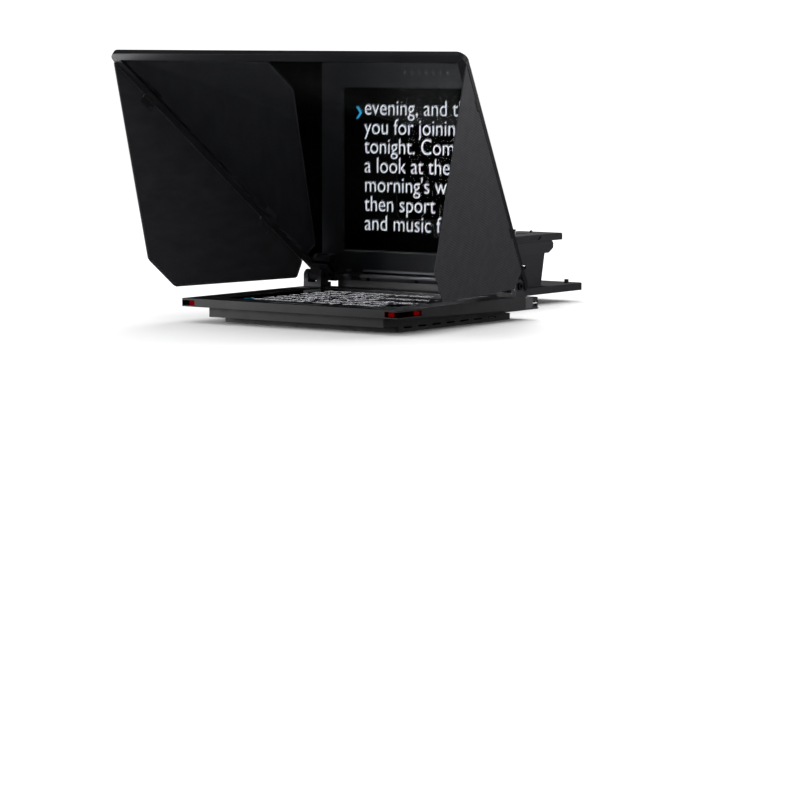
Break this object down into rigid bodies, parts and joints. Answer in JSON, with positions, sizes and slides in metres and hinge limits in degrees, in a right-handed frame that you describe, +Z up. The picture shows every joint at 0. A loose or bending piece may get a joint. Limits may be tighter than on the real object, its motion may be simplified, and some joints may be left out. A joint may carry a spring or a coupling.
{
  "type": "camera teleprompter",
  "caption": "Through-the-glass camera teleprompter: flat monitor, hinged 45 degree mirror-glass hood with folding side wings, rear cloth shroud and sliding camera plate.",
  "frame": {"origin": "centre of the four head bolts on the underside of the base", "axes": "+X to the right of the reader, +Y from the reader to the camera, +Z up"},
  "size_m": [0.7718, 0.8631, 0.485],
  "materials": {
    "monitor_black": "fine satin black powder coat",
    "screen_glass": "clear hard glass over the panel",
    "lcd": "dark polariser",
    "backlight_white": "white diffuser",
    "tally_tint": "smoke-tinted acrylic",
    "tally_red": "red lens, lit",
    "circuit_board": "green solder mask",
    "housing_black": "matte black powder coat",
    "cover_grey": "dark grey satin coat",
    "connector_metal": "nickel plate",
    "anodised_black": "black anodised, machined",
    "knob_black": "moulded nylon",
    "black_steel": "black oxide",
    "frame_black": "black anodised extrusion",
    "beam_splitter": "half-silvered front face",
    "bar_grey": "dark grey anodised",
    "bright_steel": "polished stainless steel",
    "shroud_cloth": "light-proof black cloth",
    "shroud_elastic": "ribbed elastic hem",
    "hinge_black": "black coated steel",
    "wing_carbon": "woven carbon-fibre composite, satin",
    "wing_flock": "matte black flock",
    "button_grey": "moulded keys with a pale ring"
  },
  "bodies": {
    "base": {"monitor_bezel": "monitor_black", "screen_cover_glass": "screen_glass", "lcd_panel": "lcd", "backlight": "backlight_white", "monitor_case": "monitor_black", "tally_lenses": "tally_tint", "tally_leds": "tally_red", "button_board": "circuit_board", "electronics_housing": "housing_black", "controller_board": "circuit_board", "power_board": "circuit_board", "connector_cover": "cover_grey", "bnc_connectors": "connector_metal", "network_jacks": "connector_metal", "power_inlet": "connector_metal", "connector_guard": "housing_black", "base_tray": "housing_black", "mount_block": "anodised_black", "rear_plate": "anodised_black", "end_stop_screws": "knob_black", "m8_bolts": "black_steel", "m6_bolts": "black_steel", "tray_screws": "black_steel", "riser": "anodised_black", "riser_head": "anodised_black", "hinge_bracket_right": "anodised_black", "hinge_bracket_left": "anodised_black", "hinge_pins": "black_steel"},
    "hood": {"right_rail": "frame_black", "bottom_rail": "frame_black", "left_rail": "frame_black", "top_rail": "frame_black", "beam_splitter_glass": "beam_splitter", "glass_retaining_bar": "bar_grey", "hood_screws": "black_steel", "glass_clips": "bar_grey", "hood_arm_right": "anodised_black", "hood_arm_left": "anodised_black", "lock_screws": "bright_steel", "rear_shroud": "shroud_cloth", "shroud_hem": "shroud_elastic", "wing_hinge_plates": "hinge_black", "wing_hinge_pins": "bright_steel"},
    "right_wing": {"wing_panel_right": "wing_carbon", "wing_lining_right": "wing_flock", "wing_hinge_leaves_right": "hinge_black"},
    "left_wing": {"wing_panel_left": "wing_carbon", "wing_lining_left": "wing_flock", "wing_hinge_leaves_left": "hinge_black"},
    "camera_slide": {"camera_plate": "anodised_black", "camera_screw": "bright_steel", "locating_pin": "bright_steel"},
    "clamp_lever": {"clamp_lever": "knob_black"},
    "menu_button_1": {"menu_button_1": "button_grey"},
    "menu_button_2": {"menu_button_2": "button_grey"},
    "menu_button_3": {"menu_button_3": "button_grey"},
    "menu_button_4": {"menu_button_4": "button_grey"},
    "menu_button_5": {"menu_button_5": "button_grey"},
    "menu_button_6": {"menu_button_6": "button_grey"},
    "menu_button_7": {"menu_button_7": "button_grey"}
  },
  "joints": [
    {"name": "hood_fold", "type": "hinge", "parent": "base", "child": "hood", "pos_m": [0, -0.192, 0.0646], "axis": [1, 0, 0], "range_deg": [0, 45]},
    {"name": "right_wing_fold", "type": "hinge", "parent": "hood", "child": "right_wing", "pos_m": [0.38385, -0.57156, 0.46212], "axis": [-0.2561, 0.6835, -0.6835], "range_deg": [0, 87]},
    {"name": "left_wing_fold", "type": "hinge", "parent": "hood", "child": "left_wing", "pos_m": [-0.38385, -0.57156, 0.46212], "axis": [-0.2561, -0.6835, 0.6835], "range_deg": [0, 87]},
    {"name": "camera_plate_slide", "type": "slide", "parent": "base", "child": "camera_slide", "axis": [0, 1, 0], "range_m": [-0.05, 0.05]},
    {"name": "clamp_lever_turn", "type": "hinge", "parent": "base", "child": "clamp_lever", "pos_m": [-0.0504, 0.12, 0.1032], "axis": [1, 0, 0], "range_deg": [0, 70]},
    {"name": "menu_button_1_press", "type": "slide", "parent": "base", "child": "menu_button_1", "axis": [0, 0, -1], "range_m": [0, 0.0006], "stiffness_N_per_m": 2000, "springref_m": -0.0001},
    {"name": "menu_button_2_press", "type": "slide", "parent": "base", "child": "menu_button_2", "axis": [0, 0, -1], "range_m": [0, 0.0006], "stiffness_N_per_m": 2000, "springref_m": -0.0001},
    {"name": "menu_button_3_press", "type": "slide", "parent": "base", "child": "menu_button_3", "axis": [0, 0, -1], "range_m": [0, 0.0006], "stiffness_N_per_m": 2000, "springref_m": -0.0001},
    {"name": "menu_button_4_press", "type": "slide", "parent": "base", "child": "menu_button_4", "axis": [0, 0, -1], "range_m": [0, 0.0006], "stiffness_N_per_m": 2000, "springref_m": -0.0001},
    {"name": "menu_button_5_press", "type": "slide", "parent": "base", "child": "menu_button_5", "axis": [0, 0, -1], "range_m": [0, 0.0006], "stiffness_N_per_m": 2000, "springref_m": -0.0001},
    {"name": "menu_button_6_press", "type": "slide", "parent": "base", "child": "menu_button_6", "axis": [0, 0, -1], "range_m": [0, 0.0006], "stiffness_N_per_m": 2000, "springref_m": -0.0001},
    {"name": "menu_button_7_press", "type": "slide", "parent": "base", "child": "menu_button_7", "axis": [0, 0, -1], "range_m": [0, 0.0006], "stiffness_N_per_m": 2000, "springref_m": -0.0001}
  ]
}
